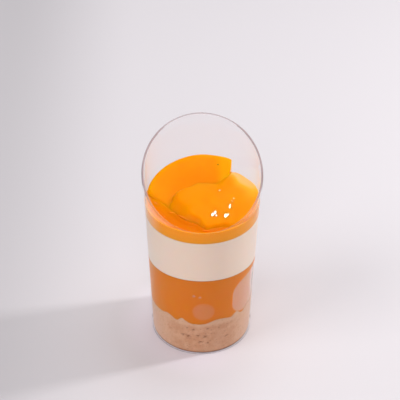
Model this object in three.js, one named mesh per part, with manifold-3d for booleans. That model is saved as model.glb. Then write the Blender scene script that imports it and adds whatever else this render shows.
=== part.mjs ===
// A layered peach cheesecake in a clear cup with a slanted rim.
// Millimetres, +Z up. The origin is the middle of the cup's underside and the low lip faces -Y.
import * as THREE from "three";
import { mergeVertices } from "three/addons/utils/BufferGeometryUtils.js";
import Module from "manifold-3d";

const wasm = await Module();
wasm.setup();

// Cup: a thin tapered wall, a flat floor and a rim cut on a slant
const BASE_RADIUS = 23.95;
const WALL_TAPER = 0.0396; // growth of the radius for each millimetre of height
const WALL = 1.0;
const FLOOR = 0.8;
const FOOT_ROUND = 0.6;
const RIM_MIDDLE = 88.4; // height of the slanted rim on the cup's axis
const RIM_SLANT = 28.1; // degrees, rising towards +Y
const BLANK_HEIGHT = 110; // wall height before the rim is cut
const ROUND_STEPS = 72;

// Layers, from the floor up to the low lip
const GAP = 0.3; // clearance between pieces that touch
const CRUMB_LEVEL = 18.7;
const CRUMB_LUMPS = 0.5;
const JELLY_TOP = 46; // at the front, where it stands highest
const JELLY_SLOPE = 0.122; // fall of the jelly's top towards the back
const CREAM_TOP = 68;
const GLAZE_TOP = 73.2;
const GLAZE_CREEP = 0.9; // how far the glaze climbs the wall
const GLAZE_CREEP_WIDTH = 0.08; // as a share of the radius
const FLAT = [1]; // shares of the radius that carry a ring of corners
const LUMPY = [0.2, 0.4, 0.6, 0.8, 1];
const DISHED = [0.6, 0.82, 0.91, 0.96, 1];

// Humps of crumb along the wall: angle from the front towards +X, spread in degrees, rise
const CRUMB_HUMPS = [
  [-55, 14, 0.9],
  [-42, 8, 1.9],
  [-25, 4, 2.2],
  [-20, 6, 1.0],
  [17, 11.5, 2.4],
  [29, 7, 0.7],
  [41, 5.5, 3.0],
  [62, 9, 1.2],
  [84, 11, 1.7],
  [127, 12, 2.2],
  [166, 9, 1.5],
  [212, 13, 2.0],
  [250, 10, 1.8],
];

// Hollow in the side of the jelly where it has drawn away from the wall
const HOLLOW_ANGLE = 73;
const HOLLOW_HALF_ANGLE = 39;
const HOLLOW_MIDDLE = 31;
const HOLLOW_ABOVE = 9.8; // height of its upper half
const HOLLOW_BELOW = 11.8; // height of its lower half, which reaches the crumb
const HOLLOW_DEPTH = 1;
const HOLLOW_ROUNDNESS = 3; // power of the hollow's outline, 2 is an ellipse

// Front peach slice: a flat piece with sloping sides, lying between the back slice and the low lip
const FRONT_MIDDLE = [6, -4.5];
const FRONT_RADIUS = 17.5;
const FRONT_FULLER = 1.9; // added to the radius on the right
const FRONT_FULLER_AT = 5; // degrees from +X
const FRONT_FOOT = 73.05; // height of the outline
const FRONT_DROP = 1.6; // depth of the underside below the outline
const FRONT_TOP = 77.8; // height of the top on the cup's axis
const FRONT_TILT = -0.03; // slope of the top up to the right
const FRONT_BEND = 0.0065; // fall of the top with the square of the distance towards the low lip
const FRONT_SLOPE = 0.1; // share of the radius over which the side climbs to the top
const FRONT_SHOULDER = 0.3; // softness of the turn from the side to the top

// Corners of the front slice's outline: degrees from +X, spread in degrees, added radius
const FRONT_CORNERS = [
  [163, 17, 4],
  [187, 13, 4.6],
  [212, 20, 3],
  [253, 9.5, 2.6],
  [280, 7, -0.7],
  [290, 9, 0.2],
  [40, 34, 4.6],
  [68, 14, 6.5],
];

// Where the side of the front slice slopes more: degrees from +X, spread in degrees, added share
const FRONT_SLOPES = [
  [192, 12, 0.15],
  [214, 26, 0.085],
  [45, 45, 0.16],
];

// Where the front slice's outline lies higher, on the wall at the right and on the back slice:
// degrees from +X, spread in degrees, added height
const FRONT_EDGES = [
  [20, 65, 2.8],
  [168, 18, 2.4],
];

// Back peach slice: a wedge bent along the back wall with its flat cut face upwards
const BACK_FROM = 20; // degrees from +X, the end that is cut off
const BACK_TO = 207; // the rounded end at the left
const BACK_INNER = 5; // radius of the inner edge where it comes nearest to the cup's axis
const BACK_INNER_AT = 95; // degrees
const BACK_INNER_OPENING = 0.00075; // growth of that radius with the square of the degrees away
const BACK_INNER_REACH = 78; // degrees away to the left at which it stops growing
const BACK_OUTER = 25.9;
const BACK_OUTER_IN = 7.1; // how far the outer side leaves the wall at the left end
const BACK_OUTER_FROM = 168; // degrees at which it starts to leave the wall
const BACK_OUTER_TO = 198; // degrees at which it has done so
const BACK_UNDERSIDE = 71.6;
const BACK_LIP = 77.5; // height of the inner edge at the right
const BACK_LIP_FALL = 2.6; // how far the inner edge falls to the left
const BACK_LIP_FROM = 26; // degrees at which it starts to fall
const BACK_LIP_OVER = 163; // degrees over which it does so
const BACK_LIP_CURVE = 2.2; // power of that curve
const BACK_CREST = 82.8; // height at the wall
const BACK_ROUNDNESS = 7; // power of the rounded section
const BACK_ROUNDER = 3.2; // power of the section's outer side at the left end
const BACK_ROUNDER_FROM = 145; // degrees at which that side starts to be rounder
const BACK_ROUNDER_TO = 190;
const BACK_END_ROUNDNESS = 3.6;

// Where the back slice's height at the wall changes: two directions in degrees, change between them
const BACK_CREST_STEPS = [
  [80, 45, 1],
  [85, 175, -5.3],
  [165, 203, -2.2],
];

// Faces cut on the right end of the back slice, each a point and the direction it faces
const END_CUTS = [
  { point: [10.1, 23.5, 83.3], facing: [0.0985, -0.1423, 0.985] },
  { point: [14.7, 20.8, 81.3], facing: [0.993, -0.115, 0] },
  { point: [9.4, 3.8, 78.8], facing: [0.892, -0.451, 0] },
];

// Rise of the front slice against the last of those faces
const END_RISE = 2.2;
const END_RISE_WIDTH = 3;
const END_RISE_MIDDLE = 6; // along the face from its point
const END_RISE_LENGTH = 6;

const rad = THREE.MathUtils.degToRad;
const lerp = THREE.MathUtils.lerp;
const smoothstep = THREE.MathUtils.smoothstep;
const innerRadius = (z) => BASE_RADIUS + WALL_TAPER * z - WALL;
const power = (value, exponent) => Math.sign(value) * Math.abs(value) ** exponent;
const bump = (distance, spread) => Math.exp(-((distance / spread) ** 2));
const softAbove = (value, softness) => 0.5 * (value + Math.hypot(value, softness));

// Degrees between two directions, from -180 to 180
const turnBetween = (from, to) => THREE.MathUtils.euclideanModulo(to - from + 180, 360) - 180;

// A value for a direction: a base value and the bumps that stand near it
function around(base, bumps, degrees) {
  let value = base;
  for (const [at, spread, rise] of bumps) value += rise * bump(turnBetween(at, degrees), spread);
  return value;
}

// A geometry whose faces share their corners
function welded(geometry) {
  geometry.deleteAttribute("normal");
  geometry.deleteAttribute("uv");
  return mergeVertices(geometry, 1e-4);
}

// A closed solid from a geometry
function solid(geometry) {
  const { attributes, index } = welded(geometry);
  const mesh = new wasm.Mesh({
    numProp: 3,
    vertProperties: new Float32Array(attributes.position.array),
    triVerts: new Uint32Array(index.array),
  });
  return new wasm.Manifold(mesh);
}

// Moves every corner of a geometry by a function of its place
function reshape(geometry, place) {
  const shaped = welded(geometry);
  const corners = shaped.attributes.position;
  for (let i = 0; i < corners.count; i += 1) {
    corners.setXYZ(i, ...place(corners.getX(i), corners.getY(i), corners.getZ(i)));
  }
  return shaped;
}

// A solid of revolution about Z from rows of radius and height
function turned(profile, steps) {
  const points = profile.map(([radius, height]) => new THREE.Vector2(radius, height));
  return new THREE.LatheGeometry(points, steps).rotateX(Math.PI / 2);
}

// The half space above a plane, as a large block
function blockAbove(point, normal) {
  const turn = new THREE.Quaternion().setFromUnitVectors(
    new THREE.Vector3(0, 0, 1),
    new THREE.Vector3(...normal).normalize(),
  );
  const block = new THREE.BoxGeometry(160, 160, 120).translate(0, 0, 60).applyQuaternion(turn);
  return solid(block.translate(...point));
}

// The cup
function makeCup() {
  const wallAt = (z) => BASE_RADIUS + WALL_TAPER * z;
  const foot = [0, 30, 60, 90].map((angle) => [
    wallAt(FOOT_ROUND) - FOOT_ROUND * (1 - Math.sin(rad(angle))),
    FOOT_ROUND * (1 - Math.cos(rad(angle))),
  ]);
  const profile = [
    [0, 0],
    ...foot,
    [wallAt(BLANK_HEIGHT), BLANK_HEIGHT],
    [innerRadius(BLANK_HEIGHT), BLANK_HEIGHT],
    [innerRadius(FLOOR), FLOOR],
    [0, FLOOR],
  ];
  const slant = rad(RIM_SLANT);
  const rim = blockAbove([0, 0, RIM_MIDDLE], [0, -Math.sin(slant), Math.cos(slant)]);
  return solid(turned(profile, ROUND_STEPS)).subtract(rim);
}

// Everything inside the wall, less the clearance
function makeInside() {
  const low = FLOOR + GAP;
  return solid(
    turned(
      [
        [0, low],
        [innerRadius(low) - GAP, low],
        [innerRadius(BLANK_HEIGHT) - GAP, BLANK_HEIGHT],
        [0, BLANK_HEIGHT],
      ],
      ROUND_STEPS,
    ),
  );
}

// A layer between two surfaces, each a height for a share of the radius and an angle from the front
function layer(bottom, top, { under = FLAT, over = FLAT, rows = 1, hollow = () => 0 } = {}) {
  const profile = [[0, 0], ...under.map((share) => [share, 0])];
  for (let i = 1; i < rows; i += 1) profile.push([1, i / rows]);
  profile.push(...over.toReversed().map((share) => [share, 1]), [0, 1]);
  return solid(
    reshape(turned(profile, ROUND_STEPS), (x, y, z) => {
      const share = Math.hypot(x, y);
      const angle = Math.atan2(x, -y);
      const height = lerp(bottom(share, angle), top(share, angle), z);
      const radius = share * (innerRadius(height) - GAP - hollow(angle, height));
      return [radius * Math.sin(angle), -radius * Math.cos(angle), height];
    }),
  );
}

// The uneven top of the crumb
function crumbTop(share, angle) {
  const humps = around(0, CRUMB_HUMPS, THREE.MathUtils.radToDeg(angle));
  const lumps = Math.sin(7 * share * Math.sin(angle) + 0.8) * Math.cos(8 * share * Math.cos(angle));
  return CRUMB_LEVEL + humps * share ** 2 + CRUMB_LUMPS * lumps * (1 - share ** 3);
}

// The hollow at the side of the jelly, deepest in its middle
function jellyHollow(angle, height) {
  const across = Math.abs((THREE.MathUtils.radToDeg(angle) - HOLLOW_ANGLE) / HOLLOW_HALF_ANGLE);
  const along = Math.abs(height - HOLLOW_MIDDLE) / (height > HOLLOW_MIDDLE ? HOLLOW_ABOVE : HOLLOW_BELOW);
  const reach = across ** HOLLOW_ROUNDNESS + along ** HOLLOW_ROUNDNESS;
  return HOLLOW_DEPTH * Math.sqrt(Math.max(0, 1 - reach));
}

// The sloping top of the jelly
function jellyTop(share, angle) {
  return JELLY_TOP - JELLY_SLOPE * innerRadius(JELLY_TOP) * (1 - share * Math.cos(angle));
}

const level = (z) => () => z;
const glazeTop = (share) => GLAZE_TOP + GLAZE_CREEP * bump(1 - share, GLAZE_CREEP_WIDTH);

// The top of the front slice at a place, where it also climbs the cut end of the back slice
function frontTop(x, y) {
  const { point, facing } = END_CUTS[2];
  const [dx, dy] = [x - point[0], y - point[1]];
  const away = dx * facing[0] + dy * facing[1];
  const along = dy * facing[0] - dx * facing[1];
  const climb = END_RISE * bump(away, END_RISE_WIDTH) * bump(along - END_RISE_MIDDLE, END_RISE_LENGTH);
  return FRONT_TOP + FRONT_TILT * x - FRONT_BEND * Math.min(y, 0) ** 2 + climb;
}

// The front slice, grown by a margin all round
function makeFrontSlice(margin) {
  const ball = new THREE.SphereGeometry(1, 60, 28).rotateX(Math.PI / 2);
  return solid(
    reshape(ball, (x, y, z) => {
      const angle = Math.atan2(y, x);
      const share = Math.hypot(x, y);
      const degrees = THREE.MathUtils.radToDeg(angle);
      const fuller = FRONT_FULLER * Math.cos(angle - rad(FRONT_FULLER_AT));
      const outline = around(FRONT_RADIUS + fuller, FRONT_CORNERS, degrees) + margin;
      const east = FRONT_MIDDLE[0] + outline * share * Math.cos(angle);
      const north = FRONT_MIDDLE[1] + outline * share * Math.sin(angle);
      if (z < 1e-6) return [east, north, FRONT_FOOT - margin + FRONT_DROP * z];
      const straight = (1 - share) / around(FRONT_SLOPE, FRONT_SLOPES, degrees);
      const climb = straight - softAbove(straight - 1, FRONT_SHOULDER);
      const raised = around(0, FRONT_EDGES, degrees);
      return [east, north, lerp(FRONT_FOOT + raised, frontTop(east, north), climb) + margin];
    }),
  );
}

// The height of the back slice at the wall
function backCrest(degrees) {
  let height = BACK_CREST;
  for (const [from, to, change] of BACK_CREST_STEPS) {
    const share = THREE.MathUtils.clamp((degrees - from) / (to - from), 0, 1);
    height += change * share * share * (3 - 2 * share);
  }
  return height;
}

// The back slice, a ball drawn out along the wall with a rounded wedge for its section
function makeBackSlice(margin) {
  const ball = new THREE.SphereGeometry(1, 28, 40);
  let wedge = solid(
    reshape(ball, (x, y, z) => {
      const section = Math.atan2(z, x);
      const along = 0.5 + 0.5 * power(y, 2 / BACK_END_ROUNDNESS);
      const size = Math.hypot(x, z) ** (2 / BACK_END_ROUNDNESS);
      const extra = margin / BACK_OUTER;
      const angle = lerp(rad(BACK_FROM) - extra, rad(BACK_TO) + extra, along);
      const degrees = THREE.MathUtils.radToDeg(angle);
      const rounder = x > 0 ? smoothstep(degrees, BACK_ROUNDER_FROM, BACK_ROUNDER_TO) : 0;
      const roundness = lerp(BACK_ROUNDNESS, BACK_ROUNDER, rounder);
      const out = 0.5 + 0.5 * size * power(Math.cos(section), 2 / roundness);
      const up = 0.4 + size * (0.5 * power(Math.sin(section), 2 / roundness) + 0.1);
      const opening = Math.min(degrees - BACK_INNER_AT, BACK_INNER_REACH);
      const inner = BACK_INNER + BACK_INNER_OPENING * opening ** 2;
      const turnedIn = smoothstep(degrees, BACK_OUTER_FROM, BACK_OUTER_TO);
      const outer = BACK_OUTER - BACK_OUTER_IN * turnedIn;
      const fallen = Math.max((degrees - BACK_LIP_FROM) / BACK_LIP_OVER, 0);
      const lip = BACK_LIP - BACK_LIP_FALL * fallen ** BACK_LIP_CURVE;
      const radius = lerp(inner - margin, outer + margin, out);
      const ceiling = lerp(lip, backCrest(degrees), out) + margin;
      const height = lerp(BACK_UNDERSIDE - margin, ceiling, up);
      return [radius * Math.cos(angle), radius * Math.sin(angle), height];
    }),
  );
  for (const { point, facing } of END_CUTS) {
    const moved = point.map((value, i) => value + margin * facing[i]);
    wedge = wedge.subtract(blockAbove(moved, facing));
  }
  return wedge;
}

const inside = makeInside();
const crumb = layer(level(FLOOR + GAP), crumbTop, { over: LUMPY });
const jelly = layer(
  (share, angle) => crumbTop(share, angle) + GAP,
  (share, angle) => jellyTop(share, angle) - GAP,
  { under: LUMPY, rows: 12, hollow: jellyHollow },
);
const cream = layer(jellyTop, level(CREAM_TOP - GAP));
const glaze = layer(level(CREAM_TOP), glazeTop, { over: DISHED })
  .subtract(makeFrontSlice(GAP))
  .subtract(makeBackSlice(GAP));
const backSlice = makeBackSlice(0).intersect(inside);
const frontSlice = makeFrontSlice(0).intersect(inside).subtract(makeBackSlice(GAP));

const group = new THREE.Group();

function add(name, shape, colour, look = {}) {
  const mesh = shape.getMesh();
  const geometry = new THREE.BufferGeometry();
  geometry.setAttribute("position", new THREE.BufferAttribute(new Float32Array(mesh.vertProperties), 3));
  geometry.setIndex(new THREE.BufferAttribute(new Uint32Array(mesh.triVerts), 1));
  geometry.computeVertexNormals();
  const piece = new THREE.Mesh(geometry, new THREE.MeshStandardMaterial({ color: colour, ...look }));
  piece.name = name;
  group.add(piece);
}

add("cup", makeCup(), "#eef0f0", { transparent: true, opacity: 0.3, roughness: 0.1 });
add("crumb_base", crumb, "#be8a66", { roughness: 0.9 });
add("fruit_jelly", jelly, "#d87a24", { roughness: 0.3 });
add("cheese_cream", cream, "#ecd9cc", { roughness: 0.6 });
add("fruit_glaze", glaze, "#ec7d0c", { roughness: 0.2 });
add("peach_slice_back", backSlice, "#ff9a08", { roughness: 0.3 });
add("peach_slice_front", frontSlice, "#ff9f14", { roughness: 0.3 });

export default group;
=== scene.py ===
"""Peach cheesecake in a clear cup with a slanted rim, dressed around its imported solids."""

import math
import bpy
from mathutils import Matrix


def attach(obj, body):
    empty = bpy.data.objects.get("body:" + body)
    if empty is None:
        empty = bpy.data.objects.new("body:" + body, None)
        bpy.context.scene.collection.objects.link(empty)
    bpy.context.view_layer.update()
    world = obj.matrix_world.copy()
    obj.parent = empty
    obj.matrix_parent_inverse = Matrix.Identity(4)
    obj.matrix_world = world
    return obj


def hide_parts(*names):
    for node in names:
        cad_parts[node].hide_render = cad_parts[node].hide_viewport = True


bl_info = {
    "name": "Peach Cheesecake Cup",
    "version": (1, 0, 0),
    "blender": (4, 5, 0),
    "location": "View3D > Sidebar > Dessert",
    "description": "Builds a layered peach cheesecake in a clear cup, with its light and camera",
    "category": "Object",
}

from functools import cached_property

import bmesh
import bpy
from bpy.props import FloatProperty, FloatVectorProperty, PointerProperty
from bpy.types import Operator, Panel, PropertyGroup
from mathutils import Matrix, Vector, noise
from mathutils.bvhtree import BVHTree

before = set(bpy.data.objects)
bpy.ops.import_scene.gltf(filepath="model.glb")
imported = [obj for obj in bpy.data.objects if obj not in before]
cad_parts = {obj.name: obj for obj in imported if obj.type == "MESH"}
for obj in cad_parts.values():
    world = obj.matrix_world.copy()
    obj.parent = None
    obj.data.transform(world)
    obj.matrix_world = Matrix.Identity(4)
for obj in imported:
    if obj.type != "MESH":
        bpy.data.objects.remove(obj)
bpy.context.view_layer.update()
MM = 0.001
DOWN = Vector((0, 0, -1))

# The cup's mesh: steps round it, rows up the wall, and steps of the rounded foot, floor and rim
CUP_STEPS = 144
WALL_ROWS = 12
FOOT_STEPS = 6
FLOOR_STEPS = 4
RIM_STEPS = 6

# The cup's small forms, where the rim's rounding is a share of the wall
FLOOR_ROUND = 1.0 * MM
RIM_ROUND = 0.42
SLANT_FROM = 5 * MM  # height from which the wall is drawn out to the slant

# Cloudy edges, which also carry painted shade for the dark lines that the rim and the foot show edge-on:
# half widths on the rim, as shares of the wall, at the front and at the sides, distances to the side
# between which they change, and the cloudy share of the foot's rounding
EDGE_HALF = (0.05, 0.2)
EDGE_SIDES = (10 * MM, 22 * MM)
EDGE_FOOT = 0.55

# Heights between which the glaze's colour, painted into the low lip as if seen through it, fades out, and
# heights that part it from the foot
LIP_GLAZE_FADES = (77.3 * MM, 85.3 * MM)
LIP_STARTS = (20 * MM, 40 * MM)

# Humps of crumb along the wall: degrees from the front towards +X, spread in degrees, rise in mm
CRUMB_HUMPS = (
    (-55, 14, 0.9), (-42, 8, 1.9), (-25, 4, 2.2), (-20, 6, 1.0), (17, 11.5, 2.4), (29, 7, 0.7),
    (41, 5.5, 3.0), (62, 9, 1.2), (84, 11, 1.7), (127, 12, 2.2), (166, 9, 1.5), (212, 13, 2.0),
    (250, 10, 1.8),
)

# Lumps and grains of the crumb's top: waves and cells over the radius, and their rise in mm
LUMP_WAVES = (7, 8)
LUMP_START = 0.8
LUMP_RISE = 0.5
GRAIN_CELLS = 26
GRAIN_CUT = 0.3  # place of the cut through the cells, as a share of the radius
GRAIN_RISE = 0.22

# Open pores in the crumb by the wall: degrees from the front towards +X, height in mm, size in mm
CRUMB_PORES = (
    (2, 10.9, 0.9), (-6, 11.5, 0.8), (5, 16.0, 0.6), (-11, 15.2, 0.6), (-24, 11.1, 0.8), (-17, 10.7, 0.9),
    (-3.5, 7.6, 0.8), (5.5, 6.8, 0.7), (29, 8.9, 0.8), (-39.5, 12.0, 0.7), (-18, 15.9, 0.5),
)
PORE_DEPTH = 0.12 * MM
PORE_FLATNESS = 1.5  # width for a height of one
CRUMB_RADIUS = 24  # mm, of the side that carries the pores
SMALL_PORES = 0.6  # depth of the scattered small pores as a share of the others

# Where the crumb turns paler, in degrees from the front to either side, where a sheen from the wall is
# painted, and in heights in mm, and the heights between which the painted shadow line at its foot ends
SHEEN_SIDES = (20, 60)
PALE_TOP = (15.8, 18.8)
FOOT_SHADOW_LINE = (0.6 * MM, 1.4 * MM)

# How far the crumb reaches into the floor, and the jelly into the crumb
FLOOR_PRESS = 0.05 * MM
CRUMB_PRESS = 0.02 * MM

# Hollow in the jelly's right side: degrees from the front, half its width in degrees, heights in mm
HOLLOW_ANGLE = 73
HOLLOW_HALF_ANGLE = 39
HOLLOW_MIDDLE = 31
HOLLOW_ABOVE = 9.8
HOLLOW_BELOW = 11.8
HOLLOW_ROUNDNESS = 3
HOLLOW_EDGE = 0.05 * MM  # depth from which the painted reflection covers it

# Bubbles in the jelly's front: degrees from the front towards +X, height in mm, radius in mm
JELLY_BUBBLES = ((-10.5, 36.5, 0.7), (-3.9, 35.9, 0.6))
BUBBLE_DEPTH = 0.3 * MM
JELLY_RADIUS = 24.5  # mm, of the side that carries the bubbles

# Disc of painted reflection in the jelly's front: half its width in degrees, height and half its height in
# mm
DISC_HALF_ANGLE = 13
DISC_MIDDLE = 26.8
DISC_HALF_HEIGHT = 5.5

# The front slice: its middle in mm, and lengths in metres beside those of its settings
FRONT_MIDDLE = (6.0, -4.5)
FRONT_FULLER = 1.9 * MM  # added to the radius on the right
FRONT_FULLER_AT = 5  # degrees from +X
FRONT_DROP = 1.6 * MM  # depth of the underside below the outline
FRONT_BEND = 6.5  # fall of the top with the square of the distance towards the low lip, in metres
FRONT_SLOPE = 0.1  # share of the radius over which the side climbs to the top
FRONT_SHOULDER = 0.3  # softness of the turn from the side to the top
FRONT_SWELL = 0.22 * MM
FRONT_SWELL_CELLS = 0.13  # in a millimetre

# Corners of the front slice's outline: degrees from +X, spread in degrees, added radius in mm
FRONT_CORNERS = (
    (163, 17, 4.0), (187, 13, 4.6), (212, 20, 3.0), (253, 9.5, 2.6), (280, 7, -0.7), (290, 9, 0.2),
    (40, 34, 4.6), (68, 14, 6.5),
)

# Where the front slice's side slopes more: degrees from +X, spread in degrees, added share of the radius
FRONT_SLOPES = ((192, 12, 0.15), (214, 26, 0.085), (45, 45, 0.16))

# Where the front slice's outline lies higher: degrees from +X, spread in degrees, added height in mm
FRONT_EDGES = ((20, 65, 2.8), (168, 18, 2.4))

# Pale edge of the front slice: degrees from +X, spread in degrees, strength, and shares of the radius
FRONT_PALE = (48, 42, 1)
FRONT_PALE_FROM = (0.48, 0.82)

# The back slice: degrees from +X, and lengths in metres beside those of its settings
BACK_FROM = 20
BACK_TO = 207
BACK_INNER_AT = 95  # direction in which the inner edge is nearest to the axis
BACK_INNER_REACH = 78  # degrees from there to the left at which it stops drawing away
BACK_INNER_OPENING = 0.00075 * MM  # growth of its radius with the square of the degrees
BACK_OUTER = 25.9 * MM
BACK_OUTER_IN = 7.1 * MM  # how far the outer side leaves the wall at the left end
BACK_OUTER_TURN = (168, 198)
BACK_UNDERSIDE = 71.6 * MM
BACK_LIP_FALL = 2.6 * MM
BACK_LIP_FROM = 26
BACK_LIP_OVER = 163
BACK_LIP_CURVE = 2.2
BACK_ROUNDNESS = 7  # power of the rounded section
BACK_ROUNDER = 3.2  # power of the section's outer side at the left end
BACK_ROUNDER_TURN = (145, 190)
BACK_END_ROUNDNESS = 3.6
BACK_END_LEVEL = 0.4  # share of the height at which its ends close
BACK_SWELL = 0.15 * MM
BACK_SWELL_CELLS = 0.15  # in a millimetre

# Where the back slice's height at the wall falls: two directions in degrees from +X, fall in mm
BACK_CREST_FALLS = ((45, 80, 1.0), (85, 175, 5.3), (165, 203, 2.2))

# Faces cut on the right end of the back slice: a point in mm, the direction it faces, softness in mm
END_CUTS = (
    ((10.1, 23.5, 83.3), (0.0985, -0.1423, 0.985), 0.3),
    ((14.7, 20.8, 81.3), (0.993, -0.115, 0.0), 0.5),
    ((9.4, 3.8, 78.8), (0.892, -0.451, 0.0), 0.8),
)

# Rise of the front slice against the last of those faces, with its middle along the face
END_RISE = 2.2 * MM
END_RISE_WIDTH = 3.0 * MM
END_RISE_MIDDLE = 6 * MM
END_RISE_LENGTH = 6 * MM

# How far the slices press into the wall, and the softness of that turn
WALL_PRESS = 0.05 * MM
WALL_SOFTNESS = 0.6 * MM

# The back slice's tones: radii of the redder flesh, with painted shade where it dips behind the front
# slice, and of the paler flesh, and where its right end, which faces the lamp, turns paler with painted
# light
DEEP_FLESH_AND_SHADE = (8 * MM, 20 * MM)
PALE_FLESH = (20.5 * MM, 25 * MM)
LIT_END = (6.0 * MM, 10.8 * MM)

# A dark speck on the back slice: its place, and the radii of its core and of its edge
SPECK = (7.9 * MM, 17.5 * MM, 81.2 * MM)
SPECK_RADII = (0.2 * MM, 0.55 * MM)

# Heights up to which the glaze soaks into the slices, and the height where it is strongest
SOAKED_TO = {"front": 75.3 * MM, "back": 74.3 * MM}
SOAKED_FROM = 72.9 * MM

# Folds in the syrup on the fruit that face the lamp: place in mm, half sizes in mm, turn in degrees
SYRUP_FOLDS = (
    ((4.0, -15.0), (1.2, 0.8), 30),
    ((5.3, -13.8), (1.0, 0.7), 50),
    ((5.6, -15.4), (0.7, 0.5), -10),
    ((9.9, -15.7), (1.3, 0.9), 40),
    ((10.9, -14.7), (0.8, 0.6), 50),
    ((12.1, -10.5), (0.8, 0.9), 0),
    ((12.3, -9.0), (0.45, 0.8), 10),
    ((13.3, -6.6), (0.45, 0.8), 0),
    ((14.1, -4.4), (0.5, 0.8), 0),
    ((8.0, 1.2), (0.8, 0.6), 0),
)
FOLD_FACING = Vector((0.527, -0.407, 0.747))  # between the lamp and the low lip
FOLD_HALF_HEIGHT = 0.07  # mm
FOLD_LIFT = 0.1 * MM

# Beads of syrup along the foot of the front slice, coloured lighter than the glaze as a painted highlight
# along its meniscus: place, half sizes and turn as above
SYRUP_BEADS = (
    ((-13.7, -9.9), (1.5, 0.35), -16),
    ((-9.0, -13.9), (3.2, 0.3), -41),
    ((0.8, -23.5), (1.5, 0.3), -6),
    ((-17.4, -12.8), (0.4, 0.35), 0),
)
BEAD_HALF_HEIGHT = 0.3  # mm
BEAD_LIFT = 0.6 * MM  # least height above the glaze
DROP_ROUNDS = 3  # subdivisions of a fold or a bead
ABOVE_FRUIT = 90 * MM

# The glaze's climb at the wall as a share of the radius, its ripples, and its meniscus at the fruit
CREEP_WIDTH = 0.06
RIPPLE = 0.06 * MM
RIPPLE_CELLS = 7  # over the radius
MENISCUS = 0.8 * MM
MENISCUS_WIDTH = 1.1 * MM

# Pool of glaze at the back slice's left end, as a hump of crumb is given, its width from the fruit,
# and the shares of the radius between which it starts
POOL = (-87, 17, 1.4)
POOL_WIDTH = 2.2 * MM
POOL_FROM = (0.5, 0.8)

# Glaze that takes the colour of the fruit next to it: direction, spread and strength, and its width
FRUITY = (-80, 24, 1)
FRUITY_WIDTH = 2.8 * MM

# Radii of the thin glaze by the wall, lighter with painted light as if lit through from above, and of the
# shallow glaze inside it, with the places at the left between which each turns paler with a painted
# reflection
THIN_GLAZE = (24.0 * MM, 25.6 * MM)
THIN_LEFT = (-24.5 * MM, -18.5 * MM)
SHALLOW_GLAZE = (22.6 * MM, 24.2 * MM)
SHALLOW_LEFT = (-19 * MM, -12 * MM)

# The table top, in metres: half its width, where it turns dim at the left with painted shade, and its patch
# of painted light by the cup
TABLE_HALF = 1.6
TABLE_DIM = (-0.125, -0.03)
TABLE_LIT = (24 * MM, 44 * MM)
TABLE_LIT_LEFT = (-5 * MM, 25 * MM)
LIT_RATIO = (1.17, 1.17, 1.24)

# Lamps aimed at the middle of the cup: name, place in metres, size in metres, power in watts
LAMPS = (
    ("key", (0.71, 0.16, 0.53), 0.08, 2.9),
    ("overhead", (0.3, 0.35, 1.1), 1.1, 6.8),
    ("left fill", (-1.7, -0.7, 1.45), 1.1, 16.0),
    ("front fill", (-0.2, -1.5, 1.0), 1.1, 9.5),
)
LAMP_AIM = Vector((0, 0, 0.05))

# Light of the room on the dessert, and its brightness where it is seen
ROOM_COLOUR = (0.97, 0.95, 0.97, 1)
ROOM_LIGHT = 0.26
ROOM_SEEN = 0.8

# The camera, in front of the low lip and looking down at it
CAMERA_PLACE = (-18.55 * MM, -443.66 * MM, 395.16 * MM)
CAMERA_AIM = Vector((0.032, 0.8092, -0.5866))
CAMERA_ROLL = math.radians(0.40)


def length(name, description, millimetres):
    """A property for a length."""
    return FloatProperty(name=name, description=description, default=millimetres * MM, unit="LENGTH")


def colour(name, description, value):
    """A property for a colour."""
    return FloatVectorProperty(
        name=name, description=description, default=value, subtype="COLOR", size=3, min=0, max=1
    )


class CupSizes(PropertyGroup):
    """Sizes of the clear cup."""

    base_radius: length("Base radius", "Outer radius at the foot", 23.95)
    taper: FloatProperty(name="Taper", description="Growth of the radius with height", default=0.0396)
    wall: length("Wall", "Thickness of the wall", 1.0)
    floor: length("Floor", "Thickness of the floor", 0.6)
    foot_round: length("Foot rounding", "Radius of the edge at the foot", 0.45)
    rim_middle: length("Rim height", "Height of the rim on the axis", 88.4)
    rim_slant: FloatProperty(
        name="Rim slant", description="Slope of the rim", default=math.radians(28.1), subtype="ANGLE"
    )

    def outer(self, height):
        """Radius of the outside of the wall at a height."""
        return self.base_radius + self.taper * height

    def inner(self, height):
        """Radius of the inside of the wall at a height."""
        return self.outer(height) - self.wall


class FillingSizes(PropertyGroup):
    """Levels of the layers."""

    press: length("Press", "How far a layer reaches into the wall", 0.15)
    crumb_level: length("Crumb level", "Lowest top of the crumb", 18.7)
    jelly_top: length("Jelly top", "Top of the jelly at the front", 46.0)
    jelly_slope: FloatProperty(
        name="Jelly slope", description="Fall of the jelly's top to the back", default=0.122
    )
    cream_top: length("Cream top", "Top of the cream", 68.0)
    glaze_top: length("Glaze top", "Top of the fruit glaze", 73.2)
    glaze_creep: length("Glaze creep", "How far the glaze climbs the wall", 0.9)
    hollow_depth: length("Hollow depth", "Depth of the hollow in the jelly's side", 1.0)


class SliceSizes(PropertyGroup):
    """Sizes of the two peach slices."""

    front_radius: length("Front radius", "Mean radius of the front slice", 17.5)
    front_top: length("Front top", "Height of the front slice on the axis", 77.8)
    front_tilt: FloatProperty(
        name="Front tilt", description="Slope of the front slice up to the right", default=-0.03
    )
    foot: length("Foot", "Height at which the slices leave the glaze", 73.05)
    back_inner: length("Back inner edge", "Nearest distance of the back slice to the axis", 5.0)
    back_crest: length("Back crest", "Height of the back slice at the wall, at its right end", 83.8)
    back_lip: length("Back lip", "Height of the back slice's inner edge, at its right end", 77.5)


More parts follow.
